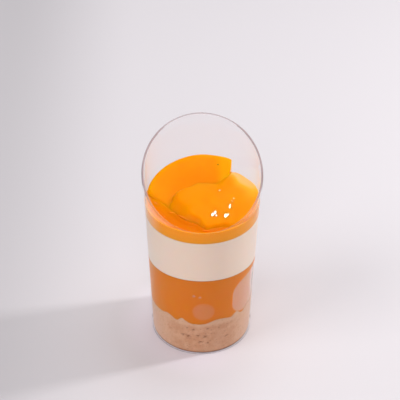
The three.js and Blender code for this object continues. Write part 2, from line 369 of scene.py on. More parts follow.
class Colours(PropertyGroup):
    """Colours of the pieces."""

    cup: colour("Cup", "Tint of the clear cup", (0.985, 0.975, 0.98))
    # Painted shade: the dark lines of the rim and the foot
    rim: colour("Rim", "Cloudy edges of the cup", (0.42, 0.29, 0.29))
    # Painted: the glaze's colour as seen through the low lip
    rim_glaze_seen: colour("Rim, wet", "Low lip, with the glaze showing in it", (1.0, 0.42, 0.14))
    crumb: colour("Crumb", "Baked crumb", (0.58, 0.285, 0.155))
    # Browned bits, and the painted shade in the pores and at the foot
    crumb_dark_and_shade: colour("Crumb, dark", "Pores and browned bits", (0.29, 0.115, 0.055))
    # Buttery bits, and the painted sheen at the sides
    crumb_pale_and_sheen: colour("Crumb, pale", "Buttery bits", (0.72, 0.43, 0.28))
    jelly: colour("Jelly", "Fruit jelly", (0.72, 0.185, 0.002))
    # Painted reflection: paler jelly where it left the wall, on its bubbles and on the disc in front; also
    # a faint random drift
    jelly_sheen: colour("Jelly, cloudy", "Paler jelly where it left the wall", (0.66, 0.28, 0.15))
    cream: colour("Cream", "Cheesecake cream", (0.87, 0.685, 0.56))
    glaze: colour("Glaze", "Fruit glaze", (0.79, 0.175, 0.001))
    # Painted light: the thin glaze by the wall, lit as if through from above
    glaze_thin_lit: colour("Glaze, thin", "Glaze by the wall, where it is thin", (1.0, 0.32, 0.006))
    # Painted reflection: the paler glaze at the left
    glaze_pale_sheen: colour("Glaze, pale", "Glaze at the left, where it is thinnest", (1.0, 0.5, 0.24))
    peach: colour("Peach", "Peach flesh", (0.96, 0.285, 0.0))
    # Redder flesh, and the painted shade by the inner edge
    peach_deep_and_shade: colour("Peach, deep", "Redder flesh by the inner edge", (0.96, 0.235, 0.0))
    # Paler flesh, and the painted light on the right end that faces the lamp
    peach_pale_and_lit: colour("Peach, pale", "Paler flesh at the cut edges", (1.0, 0.38, 0.0))
    peach_edge: colour("Peach, edge", "Yellower edge of the front slice", (1.0, 0.46, 0.03))
    # Palest colour, at the front slice's very edge
    peach_rim: colour("Peach, rim", "Palest flesh, at the front slice's very edge", (1.0, 0.46, 0.12))
    speck: colour("Speck", "Dark speck on the back slice", (0.25, 0.07, 0.01))
    syrup: colour("Syrup", "Clear syrup on the fruit", (1.0, 0.36, 0.01))
    syrup_pale: colour("Syrup, pale", "Paler waves in the clear syrup", (1.0, 0.42, 0.03))
    # Painted highlight: syrup lighter than the glaze along the fruit's foot
    bead_glint: colour("Bead", "Thick syrup at the fruit's foot", (1.0, 0.25, 0.012))
    # Paler spots in that painted highlight
    bead_glint_pale: colour("Bead, pale", "Paler spots in the thick syrup", (1.0, 0.29, 0.02))
    floor: colour("Floor", "Table top", (0.735, 0.70, 0.73))


class Dessert(PropertyGroup):
    """Everything that can be changed on the dessert."""

    cup: PointerProperty(type=CupSizes, name="Cup", description="Sizes of the cup")
    filling: PointerProperty(type=FillingSizes, name="Filling", description="Levels of the layers")
    slices: PointerProperty(type=SliceSizes, name="Slices", description="Sizes of the peach slices")
    colours: PointerProperty(type=Colours, name="Colours", description="Colours of the pieces")


class Signal:
    """An output of a node, with arithmetic that adds Math nodes."""

    def __init__(self, finish, socket):
        self.finish = finish
        self.socket = socket

    def combine(self, operation, first, second):
        """A Math node on two values."""
        return self.finish.add("ShaderNodeMath", {"operation": operation}, {0: first, 1: second})

    def __add__(self, other):
        return self.combine("ADD", self, other)

    def __radd__(self, other):
        return self.combine("ADD", other, self)

    def __sub__(self, other):
        return self.combine("SUBTRACT", self, other)

    def __rsub__(self, other):
        return self.combine("SUBTRACT", other, self)

    def __mul__(self, other):
        return self.combine("MULTIPLY", self, other)

    def __rmul__(self, other):
        return self.combine("MULTIPLY", other, self)

    def ramp(self, low, high):
        """Zero below low and one above high, with a smooth turn."""
        sockets = {"Value": self, "From Min": low, "From Max": high}
        return self.finish.add("ShaderNodeMapRange", {"interpolation_type": "SMOOTHSTEP"}, sockets)


class Finish:
    """A material or a world, and the nodes that it is made of."""

    def __init__(self, name, kind="materials"):
        self.owner = getattr(bpy.data, kind).new(name)
        self.owner.use_nodes = True
        self.tree = self.owner.node_tree
        self.tree.nodes.clear()

    def add(self, kind, settings=None, sockets=None, output=0):
        """Adds a node, sets it up, fills its sockets and gives one of its outputs, if it has any."""
        node = self.tree.nodes.new(kind)
        for key, value in (settings or {}).items():
            setattr(node, key, value)
        for key, value in (sockets or {}).items():
            if isinstance(value, Signal):
                self.tree.links.new(value.socket, node.inputs[key])
            else:
                node.inputs[key].default_value = value
        return Signal(self, node.outputs[output]) if node.outputs else None

    @cached_property
    def place(self):
        """The place of a point on the piece."""
        return self.add("ShaderNodeTexCoord", output="Object")

    @cached_property
    def axes(self):
        """How far that place lies to the right, to the back and up."""
        node = self.add("ShaderNodeSeparateXYZ", None, {0: self.place}).socket.node
        return [Signal(self, output) for output in node.outputs]

    def outwards(self, low, high):
        """Zero nearer to the cup's axis than low and one farther away than high, with a smooth turn."""
        east, north, _ = self.axes
        return (east * east + north * north).ramp(low**2, high**2)

    def noise(self, scale, detail=3.0, roughness=0.5):
        """Soft cloudy noise, with its scale in cells for each metre."""
        sockets = {"Vector": self.place, "Scale": scale, "Detail": detail, "Roughness": roughness}
        return self.add("ShaderNodeTexNoise", None, sockets)

    def mix(self, factor, first, second):
        """A colour between two colours."""
        pair = [value if isinstance(value, Signal) else (*value, 1.0) for value in (first, second)]
        sockets = {0: factor, 6: pair[0], 7: pair[1]}
        return self.add("ShaderNodeMix", {"data_type": "RGBA"}, sockets, output=2)

    def attribute(self, name):
        """A value stored on the piece's corners."""
        return self.add("ShaderNodeAttribute", {"attribute_name": name}, output="Fac")

    def bump(self, height, strength, distance):
        """A surface normal moved by a height."""
        sockets = {"Height": height, "Strength": strength, "Distance": distance}
        return self.add("ShaderNodeBump", None, sockets)

    def either_ray(self, first, second):
        """One for rays of two kinds and zero for others."""
        one, other = (self.add("ShaderNodeLightPath", output=f"Is {name} Ray") for name in (first, second))
        return one.combine("MAXIMUM", one, other)

    def close(self, lets_light_in=False, **sockets):
        """Puts the main shader on the material and gives the material."""
        named = {}
        for key, value in sockets.items():
            named[key.replace("_", " ").title().replace("Ior", "IOR")] = value
        shader = self.add("ShaderNodeBsdfPrincipled", {"subsurface_method": "RANDOM_WALK"}, named)
        if lets_light_in:
            rays = self.either_ray("Shadow", "Diffuse")
            through = self.add("ShaderNodeBsdfTransparent")
            shader = self.add("ShaderNodeMixShader", None, {0: rays, 1: shader, 2: through})
        self.add("ShaderNodeOutputMaterial", None, {"Surface": shader})
        return self.owner


def bell(distance, spread):
    """A smooth bump that falls off with distance."""
    return math.exp(-((distance / spread) ** 2))


def turn_between(start, end):
    """Degrees from one direction to another, from -180 to 180."""
    return (end - start + 180) % 360 - 180


def bells(degrees, *rows):
    """The sum of bumps round a piece, each with a direction, a spread and a height."""
    return sum(rise * bell(turn_between(at, degrees), spread) for at, spread, rise in rows)


def power(value, exponent):
    """A power that keeps the sign."""
    return math.copysign(abs(value) ** exponent, value)


def lerp(low, high, share):
    """A value between two values."""
    return low + (high - low) * share


def smooth_step(low, high, value):
    """Zero below low and one above high, with a smooth turn."""
    share = min(max((value - low) / (high - low), 0.0), 1.0)
    return share * share * (3 - 2 * share)


def soft_above(value, softness):
    """The value where it is above zero and zero elsewhere, with a rounded turn."""
    return 0.5 * (value + math.hypot(value, softness))


def rounding(radius, height, size, steps):
    """A quarter circle about a point of a section, from straight below that point outwards."""
    turns = [math.radians(90 * step / steps) for step in range(steps + 1)]
    return [(radius + size * math.sin(turn), height - size * math.cos(turn)) for turn in turns]


def dimmed(tone, share):
    """A colour with a share of its brightness."""
    return tuple(share * value for value in tone)


def turned(profile, steps, cuts=()):
    """A mesh from a chain of radius and height points, cut into rows and spun round Z."""
    bm = bmesh.new()
    corners = [bm.verts.new((radius, 0, height)) for radius, height in profile]
    chain = [bm.edges.new(pair) for pair in zip(corners, corners[1:])]
    for edge, count in zip(chain, cuts):
        if count:
            bmesh.ops.subdivide_edges(bm, edges=[edge], cuts=count)
    geom = bm.verts[:] + bm.edges[:]
    bmesh.ops.spin(bm, geom=geom, axis=(0, 0, 1), angle=math.tau, steps=steps, use_merge=True)
    bmesh.ops.remove_doubles(bm, verts=bm.verts, dist=1e-6)
    bmesh.ops.recalc_face_normals(bm, faces=bm.faces)
    return bm


def finish_piece(name, bm, material, slot, *nodes, sharp=None):
    """Turns a mesh into a piece that rides on the part and stands for its solids."""
    bmesh.ops.recalc_face_normals(bm, faces=bm.faces)
    mesh = bpy.data.meshes.new(name)
    bm.to_mesh(mesh)
    bm.free()
    mesh.shade_smooth()
    if sharp is not None:
        mesh.set_sharp_from_angle(angle=math.radians(sharp))
    mesh.materials.append(material)
    piece = bpy.data.objects.new(name, mesh)
    bpy.context.scene.collection.objects.link(piece)
    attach(piece, "root")
    if nodes:
        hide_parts(*nodes)
    return piece


def crumb_top(filling, share, angle):
    """Height of the uneven top of the crumb for a share of the radius and an angle from the front."""
    right, front = share * math.sin(angle), share * math.cos(angle)
    humps = bells(math.degrees(angle), *CRUMB_HUMPS)
    lumps = LUMP_RISE * math.sin(LUMP_WAVES[0] * right + LUMP_START) * math.cos(LUMP_WAVES[1] * front)
    grains = GRAIN_RISE * noise.noise(Vector((right, front, GRAIN_CUT)) * GRAIN_CELLS)
    return filling.crumb_level + (humps * share**2 + lumps * (1 - share**3) + grains) * MM


def jelly_surface(dessert, share, angle):
    """Height of the sloping top of the jelly for a share of the radius and an angle from the front."""
    filling = dessert.filling
    away = dessert.cup.inner(filling.jelly_top) * (1 - share * math.cos(angle))
    return filling.jelly_top - filling.jelly_slope * away


def layer(dessert, bottom, top, steps, cuts, dent=None, marks=None):
    """A layer between two surfaces, each a height for a share of the radius and an angle from the front."""
    cup, filling = dessert.cup, dessert.filling
    bm = turned(((0, 0), (1, 0), (1, 1), (0, 1)), steps, cuts)
    mark = bm.verts.layers.float.new("mark") if marks else None
    for corner in bm.verts:
        share = math.hypot(corner.co.x, corner.co.y)
        angle = math.atan2(corner.co.x, -corner.co.y)
        height = lerp(bottom(share, angle), top(share, angle), corner.co.z)
        radius = cup.inner(height) + filling.press
        at_wall = share > 0.999
        if dent and at_wall:
            radius -= dent(angle, height)
        if marks:
            corner[mark] = marks(angle, height)
        corner.co = (share * radius * math.sin(angle), -share * radius * math.cos(angle), height)
    return bm


class DESSERT_OT_cup(Operator):
    """Make the clear cup with its slanted, rounded rim"""

    bl_idname = "dessert.cup"
    bl_label = "Clear Cup"

    def execute(self, context):
        dessert = context.scene.dessert
        cup = dessert.cup
        bm = turned(*self.outline(cup))
        for corner in bm.verts:
            self.lean(cup, corner)
        slope = Vector((0, -math.sin(cup.rim_slant), math.cos(cup.rim_slant)))
        middle = Vector((0, 0, cup.rim_middle))

        def from_rim(spot):
            """Distance of a point from the plane of the rim."""
            return abs((spot - middle).dot(slope))

        def on_rim(edge):
            """True for a sharp edge that lies in the plane of the rim."""
            return edge.calc_face_angle(0) > 0.5 and all(from_rim(end.co) < 1e-5 for end in edge.verts)

        rim = [edge for edge in bm.edges if on_rim(edge)]
        size = RIM_ROUND * cup.wall
        bmesh.ops.bevel(
            bm, geom=rim, offset=size, segments=RIM_STEPS, profile=0.5, affect="EDGES", material=-1
        )
        # Faces of the cloudy edges, whose colour paints the dark lines, wider at the sides
        for face in bm.faces:
            spot = face.calc_center_median()
            half = lerp(*EDGE_HALF, smooth_step(*EDGE_SIDES, abs(spot.x))) * cup.wall
            outside = math.hypot(spot.x, spot.y) > cup.base_radius - cup.foot_round
            on_foot = outside and spot.z < EDGE_FOOT * cup.foot_round
            face.material_index = 1 if on_foot or from_rim(spot) < half else 0
        piece = finish_piece("clear_cup", bm, self.plastic(dessert.colours), "clear_cup", "cup", sharp=35)
        piece.data.materials.append(self.edge(dessert.colours))
        return {"FINISHED"}

    @staticmethod
    def outline(cup):
        """Half of the cup's section before its rim is slanted, with the steps round it and its rows."""
        top, low, corner = cup.rim_middle, cup.foot_round, FLOOR_ROUND
        foot = rounding(cup.outer(low) - low, low, low, FOOT_STEPS)
        floor = rounding(cup.inner(cup.floor) - corner, cup.floor + corner, corner, FLOOR_STEPS)
        rim = [(cup.outer(top), top), (cup.inner(top), top)]
        profile = [(0, 0), *foot, *rim, *reversed(floor), (0, cup.floor)]
        cuts = [WALL_ROWS if abs(a[1] - b[1]) > top / 2 else 0 for a, b in zip(profile, profile[1:])]
        return profile, CUP_STEPS, cuts

    @staticmethod
    def lean(cup, corner):
        """Moves a corner up or down its line of wall, so that the rim lies in the slanted plane."""
        x, y, z = corner.co
        if z > SLANT_FROM:
            radius = math.hypot(x, y)
            slant = math.tan(cup.rim_slant) * y / radius
            rim = (cup.rim_middle + slant * (radius - cup.taper * z)) / (1 - slant * cup.taper)
            rise = (rim - cup.rim_middle) * (z - SLANT_FROM) / (cup.rim_middle - SLANT_FROM)
            grown = 1 + cup.taper * rise / radius
            corner.co = (x * grown, y * grown, z + rise)

    @staticmethod
    def plastic(colours):
        """Clear plastic with faint scuffs, which lets the lamps' light through."""
        look = Finish("clear plastic")
        return look.close(
            base_color=(*colours.cup, 1),
            roughness=look.noise(900, 2).ramp(0.45, 0.8) * 0.03,
            ior=1.008,
            transmission_weight=1.0,
            coat_weight=1.0,
            coat_ior=1.33,
            coat_roughness=0.03,
            lets_light_in=True,
        )

    @staticmethod
    def edge(colours):
        """The rounded edges at the rim and the foot, where the plastic looks slightly cloudy, with painted
        shade for their dark lines, denser at the sides, and the glaze's colour painted into the low lip.
        """
        look = Finish("cloudy edge")
        streaks = look.mix(look.noise(400), colours.rim, dimmed(colours.rim, 0.85))
        east, _, up = look.axes
        side = (east * east).ramp(*(distance**2 for distance in EDGE_SIDES))
        lip = (1 - up.ramp(*LIP_GLAZE_FADES)) * up.ramp(*LIP_STARTS)
        return look.close(
            base_color=look.mix(lip, streaks, colours.rim_glaze_seen),
            roughness=0.35,
            specular_ior_level=0.3,
            alpha=(0.5 + side * 0.3) * (1 - lip * 0.4),
        )


class DESSERT_OT_crumb(Operator):
    """Make the pressed biscuit crumb at the bottom"""

    bl_idname = "dessert.crumb"
    bl_label = "Crumb Base"

    def execute(self, context):
        dessert = context.scene.dessert
        cup, filling = dessert.cup, dessert.filling
        bm = layer(
            dessert,
            lambda share, angle: cup.floor - FLOOR_PRESS,
            lambda share, angle: crumb_top(filling, share, angle),
            steps=360,
            cuts=(1, 44, 12),
            dent=lambda angle, height: PORE_DEPTH * self.pores(angle, height),
            marks=self.tones,
        )
        material = self.baked(dessert.colours)
        finish_piece("biscuit_crumb", bm, material, "crumb", "crumb_base", sharp=60)
        return {"FINISHED"}

    @staticmethod
    def pores(angle, height):
        """Depth of the pores in the side, from 0 to 1."""
        level = height / MM
        spot = Vector((math.sin(angle) * CRUMB_RADIUS, -math.cos(angle) * CRUMB_RADIUS, level))
        ragged = 1.2 + 1.3 * noise.noise(spot * 1.5)
        depth = SMALL_PORES * smooth_step(0.32, 0.55, noise.noise(spot * 1.3))
        for middle, up, size in CRUMB_PORES:
            across = math.radians(turn_between(middle, math.degrees(angle))) * CRUMB_RADIUS
            away = math.hypot(across, PORE_FLATNESS * (level - up))
            depth = max(depth, bell(away, size * ragged))
        return depth

    def tones(self, angle, height):
        """Above zero in the pores, where shade is painted into them, and below zero where the crumb is
        paler, with a painted sheen at the sides, and at the top.
        """
        sides = 0.75 * smooth_step(*SHEEN_SIDES, abs(math.degrees(angle)))
        top = 0.6 * smooth_step(*PALE_TOP, height / MM)
        return self.pores(angle, height) - max(sides, top)

    @staticmethod
    def baked(colours):
        """Matte baked crumb with lumps and grains, painted shade in its pores and a painted shadow line at
        the floor.
        """
        look = Finish("biscuit crumb")
        grain = look.noise(1100, 4, 0.65)
        lumps = look.noise(260, 4, 0.6)
        mark = look.attribute("mark")
        up = look.axes[2]
        tone = look.mix(lumps.ramp(0.3, 0.75) * 0.6, colours.crumb, colours.crumb_pale_and_sheen)
        # Painted sheen at the sides, and the paler top
        tone = look.mix((0 - mark).ramp(0, 1), tone, colours.crumb_pale_and_sheen)
        # Painted shade in the pores
        tone = look.mix(mark.ramp(0, 1) * 0.9, tone, colours.crumb_dark_and_shade)
        tone = look.mix(grain.ramp(0.58, 0.7) * 0.4, tone, colours.crumb_dark_and_shade)
        # Painted shadow line at the floor
        tone = look.mix(1 - up.ramp(*FOOT_SHADOW_LINE), tone, colours.crumb_dark_and_shade)
        return look.close(
            base_color=tone,
            roughness=0.85,
            specular_ior_level=0.1,
            normal=look.bump(grain, 0.5, 0.4 * MM),
            subsurface_weight=0.3,
            subsurface_radius=(1, 0.5, 0.3),
            subsurface_scale=1.0 * MM,
        )


class DESSERT_OT_jelly(Operator):
    """Make the cloudy fruit jelly, with the hollow where it left the wall"""

    bl_idname = "dessert.jelly"
    bl_label = "Fruit Jelly"

    def execute(self, context):
        dessert = context.scene.dessert
        filling, colours = dessert.filling, dessert.colours

        def hollow(angle, height):
            """Depth of the hollow and of the bubbles in the side."""
            degrees, level = math.degrees(angle), height / MM
            half = HOLLOW_ABOVE if level > HOLLOW_MIDDLE else HOLLOW_BELOW
            across = abs((degrees - HOLLOW_ANGLE) / HOLLOW_HALF_ANGLE)
            reach = across**HOLLOW_ROUNDNESS + abs((level - HOLLOW_MIDDLE) / half) ** HOLLOW_ROUNDNESS
            depth = filling.hollow_depth * math.sqrt(max(0, 1 - reach))
            for middle, up, size in JELLY_BUBBLES:
                across = math.radians(degrees - middle) * JELLY_RADIUS
                away = math.hypot(across, level - up) / size
                depth = max(depth, BUBBLE_DEPTH * math.sqrt(max(0, 1 - away * away)))
            return depth

        def cloud(angle, height):
            """How strongly a reflection is painted on the side, with the hollow and the bubbles at 1 and
            the disc in front below it.
            """
            across = math.degrees(angle) / DISC_HALF_ANGLE
            away = math.hypot(across, (height / MM - DISC_MIDDLE) / DISC_HALF_HEIGHT)
            disc = 0.45 * (1 - smooth_step(0.75, 1.1, away))
            return 1.0 if hollow(angle, height) > HOLLOW_EDGE else disc

        bm = layer(
            dessert,
            lambda share, angle: crumb_top(filling, share, angle) - CRUMB_PRESS,
            lambda share, angle: jelly_surface(dessert, share, angle),
            steps=360,
            cuts=(8, 70, 2),
            dent=hollow,
            marks=cloud,
        )
        look = Finish("fruit jelly")
        drift = look.noise(140).ramp(0.3, 0.75) * 0.05
        # Painted reflection on the hollow, the bubbles and the disc, with a faint random drift
        material = look.close(
            base_color=look.mix(look.attribute("mark") + drift, colours.jelly, colours.jelly_sheen),
            roughness=0.25,
            specular_ior_level=0.0,
            subsurface_weight=0.8,
            subsurface_radius=(1, 0.35, 0.08),
            subsurface_scale=3.0 * MM,
        )
        finish_piece("fruit_jelly_layer", bm, material, "jelly", "fruit_jelly", sharp=60)
        return {"FINISHED"}


class DESSERT_OT_cream(Operator):
    """Make the cheesecake cream"""

    bl_idname = "dessert.cream"
    bl_label = "Cheesecake Cream"

    def execute(self, context):
        dessert = context.scene.dessert
        cream = dessert.colours.cream
        bm = layer(
            dessert,
            lambda share, angle: jelly_surface(dessert, share, angle),
            lambda share, angle: dessert.filling.cream_top,
            steps=240,
            cuts=(2, 24, 2),
        )
        look = Finish("cheesecake cream")
        drift = look.noise(220, 4).ramp(0.35, 0.75) * 0.1
        material = look.close(
            base_color=look.mix(drift, cream, dimmed(cream, 0.93)),
            roughness=0.5,
            specular_ior_level=0.0,
            subsurface_weight=0.6,
            subsurface_radius=(1, 0.6, 0.4),
            subsurface_scale=1.5 * MM,
        )
        finish_piece("cream_layer", bm, material, "cream", "cheese_cream", sharp=60)
        return {"FINISHED"}


class DESSERT_OT_slices(Operator):
    """Make the two peach slices, and the folds and beads of syrup on them"""

    bl_idname = "dessert.slices"
    bl_label = "Peach Slices"

    def execute(self, context):
        dessert = context.scene.dessert
        colours = dessert.colours
        front, back = self.front(dessert), self.back(dessert)
        fruit = BVHTree.FromBMesh(front)
        flesh = self.flesh(colours, "front")
        finish_piece("front_peach_slice", front, flesh, "peach_skin", "peach_slice_front")
        flesh = self.flesh(colours, "back")
        finish_piece("back_peach_slice", back, flesh, "peach_cut", "peach_slice_back")
        finish_piece("syrup_folds", self.folds(fruit), self.clear_syrup(colours), "glaze")
        beads = self.beads(fruit, dessert.filling.glaze_top + BEAD_LIFT)
        # Beads whose lighter colour paints the highlight along the fruit's foot
        finish_piece("syrup_beads", beads, self.glint_syrup(colours), "glaze")
        return {"FINISHED"}

    @staticmethod
    def pressed(cup, point):
        """The point, or its place on the inside of the wall where it would pass the wall."""
        limit = cup.inner(point.z) + WALL_PRESS
        radius = math.hypot(point.x, point.y)
        kept = limit - soft_above(limit - radius, WALL_SOFTNESS)
        return Vector((point.x * kept / radius, point.y * kept / radius, point.z))

    @staticmethod
    def from_cut(east, north):
        """Distance from the inner cut on the back slice's end, and distance along it."""
        (x, y, _), (across, back, _), _ = END_CUTS[2]
        x, y = east - x * MM, north - y * MM
        return x * across + y * back, y * across - x * back

    def front(self, dessert):
        """A flat piece with sloping sides, and a pale edge along the wall at the right."""
        sizes, cup = dessert.slices, dessert.cup
        bm = bmesh.new()
        bmesh.ops.create_uvsphere(bm, u_segments=176, v_segments=120, radius=1)
        mark = bm.verts.layers.float.new("mark")
        for corner in bm.verts:
            x, y, z = corner.co
            angle, share = math.atan2(y, x), math.hypot(x, y)
            degrees = math.degrees(angle)
            outline = sizes.front_radius + bells(degrees, *FRONT_CORNERS) * MM
            outline += FRONT_FULLER * math.cos(angle - math.radians(FRONT_FULLER_AT))
            east = FRONT_MIDDLE[0] * MM + outline * share * math.cos(angle)
            north = FRONT_MIDDLE[1] * MM + outline * share * math.sin(angle)
            top = sizes.front_top + sizes.front_tilt * east - FRONT_BEND * min(north, 0) ** 2
            away, along = self.from_cut(east, north)
            top += END_RISE * bell(away, END_RISE_WIDTH) * bell(along - END_RISE_MIDDLE, END_RISE_LENGTH)
            climb = (1 - share) / (FRONT_SLOPE + bells(degrees, *FRONT_SLOPES))
            climb -= soft_above(climb - 1, FRONT_SHOULDER)
            edge = sizes.foot + bells(degrees, *FRONT_EDGES) * MM
            height = lerp(edge, top, climb) if z > 0 else sizes.foot + FRONT_DROP * z
            swell = noise.noise(Vector((east, north, 0)) / MM * FRONT_SWELL_CELLS)
            height += swell * FRONT_SWELL * max(z, 0)
            corner.co = self.pressed(cup, Vector((east, north, height)))
            corner[mark] = smooth_step(*FRONT_PALE_FROM, share) * bells(degrees, FRONT_PALE)
        return bm

    def back(self, dessert):
        """A crescent along the back wall, with a flat top that falls away to the left."""
        sizes, cup = dessert.slices, dessert.cup
        bm = bmesh.new()
        bmesh.ops.create_uvsphere(bm, u_segments=128, v_segments=160, radius=1)
        for corner in bm.verts:
            x, y, z = corner.co
            around = math.atan2(y, x)
            size = math.hypot(x, y) ** (2 / BACK_END_ROUNDNESS)
            degrees = lerp(BACK_FROM, BACK_TO, 0.5 + 0.5 * power(z, 2 / BACK_END_ROUNDNESS))
            roundness = BACK_ROUNDNESS
            if x > 0:
                roundness = lerp(BACK_ROUNDNESS, BACK_ROUNDER, smooth_step(*BACK_ROUNDER_TURN, degrees))
            out = 0.5 + 0.5 * size * power(math.cos(around), 2 / roundness)
            rise = 0.5 + 0.5 * power(math.sin(around), 2 / roundness)
            rise = lerp(BACK_END_LEVEL, rise, size)
            inner = min(degrees - BACK_INNER_AT, BACK_INNER_REACH)
            inner = sizes.back_inner + BACK_INNER_OPENING * inner**2
            outer = BACK_OUTER - BACK_OUTER_IN * smooth_step(*BACK_OUTER_TURN, degrees)
            falls = sum(fall * smooth_step(start, end, degrees) for start, end, fall in BACK_CREST_FALLS)
            crest = sizes.back_crest - falls * MM
            turn = max((degrees - BACK_LIP_FROM) / BACK_LIP_OVER, 0)
            lip = sizes.back_lip - BACK_LIP_FALL * turn**BACK_LIP_CURVE
            radius = lerp(inner, outer, out)
            height = lerp(BACK_UNDERSIDE, lerp(lip, crest, out), rise)
            angle = math.radians(degrees)
            point = Vector((radius * math.cos(angle), radius * math.sin(angle), height))
            point.z += noise.noise(point / MM * BACK_SWELL_CELLS) * BACK_SWELL
            for at, facing, softness in END_CUTS:
                facing = Vector(facing).normalized()
                over = (point - Vector(at) * MM).dot(facing)
                point -= facing * (over + soft_above(-over, softness * MM))
            corner.co = self.pressed(cup, point)
        return bm

    @staticmethod
    def flesh(colours, which):
        """Wet peach flesh with fine fibres, redder by the inner edge, where painted shade is added, and
        paler at the cut edges, with painted light on the back slice's right end.
        """
        look = Finish(f"{which} peach flesh")
        east, _, up = look.axes
        cloud = look.noise(160).ramp(0.3, 0.75)
        fibre = look.noise(1100, 3, 0.6)
        tone = look.mix(cloud * 0.35, colours.peach, colours.peach_deep_and_shade)
        if which == "back":
            # Redder flesh and painted shade by the inner edge
            tone = look.mix((1 - look.outwards(*DEEP_FLESH_AND_SHADE)) * 0.8, tone, colours.peach_deep_and_shade)
            tone = look.mix(look.outwards(*PALE_FLESH) * 0.5, tone, colours.peach_pale_and_lit)
            # Painted light on the right end, which faces the lamp
            tone = look.mix(east.ramp(*LIT_END) * 0.8, tone, colours.peach_pale_and_lit)
            between = {"operation": "DISTANCE"}
            away = look.add("ShaderNodeVectorMath", between, {0: look.place, 1: SPECK}, output="Value")
            tone = look.mix(1 - away.ramp(*SPECK_RADII), tone, colours.speck)
        else:
            # Paler and yellower towards the right-back edge
            mark = look.attribute("mark")
            tone = look.mix(mark, tone, colours.peach_edge)
            tone = look.mix(mark.ramp(0.62, 0.98), tone, colours.peach_rim)
        soaked = 1 - up.ramp(SOAKED_FROM, SOAKED_TO[which])
        return look.close(
            base_color=look.mix(soaked * 0.5, tone, colours.glaze),
            roughness=0.28,
            specular_ior_level=0.03,
            normal=look.bump(fibre, 0.1, 0.2 * MM),
            subsurface_weight=0.85,
            subsurface_radius=(1, 0.5, 0.08),
            subsurface_scale=3.5 * MM,
        )

    @staticmethod
    def drop(bm, place, facing, half_sizes, turn):
        """Adds a flat drop of syrup, with its half sizes in mm and its turn in degrees."""
        sizes = Matrix.Diagonal((*(half * MM for half in half_sizes), 1))
        spun = Matrix.Rotation(math.radians(turn), 4, "Z")
        stand = Matrix.Translation(place) @ facing @ spun @ sizes
        bmesh.ops.create_icosphere(bm, subdivisions=DROP_ROUNDS, radius=1, matrix=stand)

    def folds(self, fruit):
        """Folds of clear syrup on the front slice, which catch the lamp."""
        bm = bmesh.new()
        facing = FOLD_FACING.to_track_quat("Z", "Y").to_matrix().to_4x4()
        for (x, y), halves, turn in SYRUP_FOLDS:
            place = fruit.ray_cast(Vector((x * MM, y * MM, ABOVE_FRUIT)), DOWN)[0]
            if place is None:
                raise RuntimeError(f"a fold of syrup at {x}, {y} mm misses the fruit")
            self.drop(bm, place + FOLD_LIFT * FOLD_FACING, facing, (*halves, FOLD_HALF_HEIGHT), turn)
        return bm

    def beads(self, fruit, level):
        """Beads of thick syrup, on the front slice or at a level above the glaze."""
        bm = bmesh.new()
        for (x, y), halves, turn in SYRUP_BEADS:
            place = fruit.ray_cast(Vector((x * MM, y * MM, ABOVE_FRUIT)), DOWN)[0]
            height = level if place is None else max(place.z, level)
            spot = Vector((x * MM, y * MM, height))
            self.drop(bm, spot, Matrix.Identity(4), (*halves, BEAD_HALF_HEIGHT), turn)
        return bm

    @staticmethod
    def clear_syrup(colours):
        """Glossy syrup with the fruit's colour in it."""
        look = Finish("clear syrup")
        return look.close(
            base_color=look.mix(look.noise(1500, 2).ramp(0.4, 0.6), colours.syrup, colours.syrup_pale),
            roughness=0.05,
            subsurface_weight=0.5,
            subsurface_radius=(1, 0.3, 0.06),
            subsurface_scale=2.0 * MM,
            coat_weight=1.0,
            coat_roughness=0.04,
        )

    @staticmethod
    def glint_syrup(colours):
        """Syrup with a dull shine, lighter than the glaze as a painted highlight along the fruit's foot."""
        look = Finish("thick syrup")
        tone = look.mix(look.noise(700, 2), colours.bead_glint, colours.bead_glint_pale)
        return look.close(base_color=tone, roughness=0.45, specular_ior_level=0.05)


